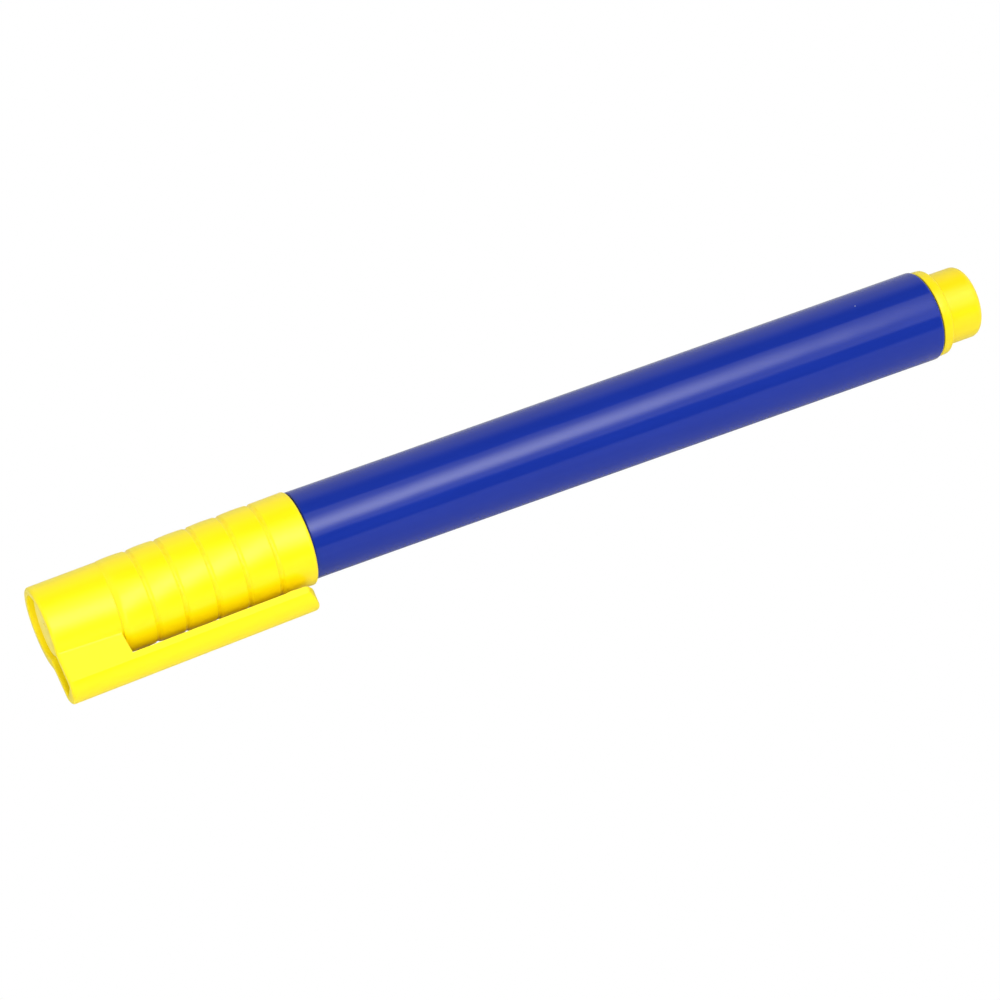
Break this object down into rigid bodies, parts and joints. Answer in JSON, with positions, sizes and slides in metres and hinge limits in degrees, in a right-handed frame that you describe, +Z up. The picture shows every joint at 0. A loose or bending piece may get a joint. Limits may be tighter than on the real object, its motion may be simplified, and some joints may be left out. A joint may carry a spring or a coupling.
{
  "type": "counterfeit detector pen",
  "caption": "Slim felt-tip pen for testing banknotes: round barrel, ribbed push-on cap with a moulded pocket clip, stepped rear plug, lying on its side.",
  "frame": {"origin": "on the table, under the middle of the pen's length and of its width with the clip", "axes": "+X along the pen from the cap's closed end to the rear plug, +Z up, the clip on the -Y side and touching the table"},
  "size_m": [0.1372, 0.0167, 0.0129],
  "materials": {
    "cap_yellow": "satin",
    "plug_yellow": "satin",
    "barrel_blue": "gloss",
    "seal_cream": "satin",
    "nib_felt": "matte",
    "reservoir_fibre": "matte",
    "film_clear": "gloss"
  },
  "bodies": {
    "pen_body": {"barrel": "barrel_blue", "front_section": "barrel_blue", "nib": "nib_felt", "ink_reservoir": "reservoir_fibre", "reservoir_film": "film_clear", "rear_plug": "plug_yellow"},
    "cap": {"cap_shell": "cap_yellow", "inner_seal_cup": "seal_cream"},
    "clip": {"pocket_clip": "cap_yellow"}
  },
  "joints": [
    {"name": "cap_pull", "type": "slide", "parent": "pen_body", "child": "cap", "axis": [-1, 0, 0], "range_m": [0, 0.045]},
    {"name": "clip_flex", "type": "hinge", "parent": "cap", "child": "clip", "pos_m": [-0.05917, -0.00785, 0.0023], "axis": [0, 0.3973, -0.9177], "range_deg": [0, 5], "stiffness_Nm_per_rad": 0.9}
  ]
}
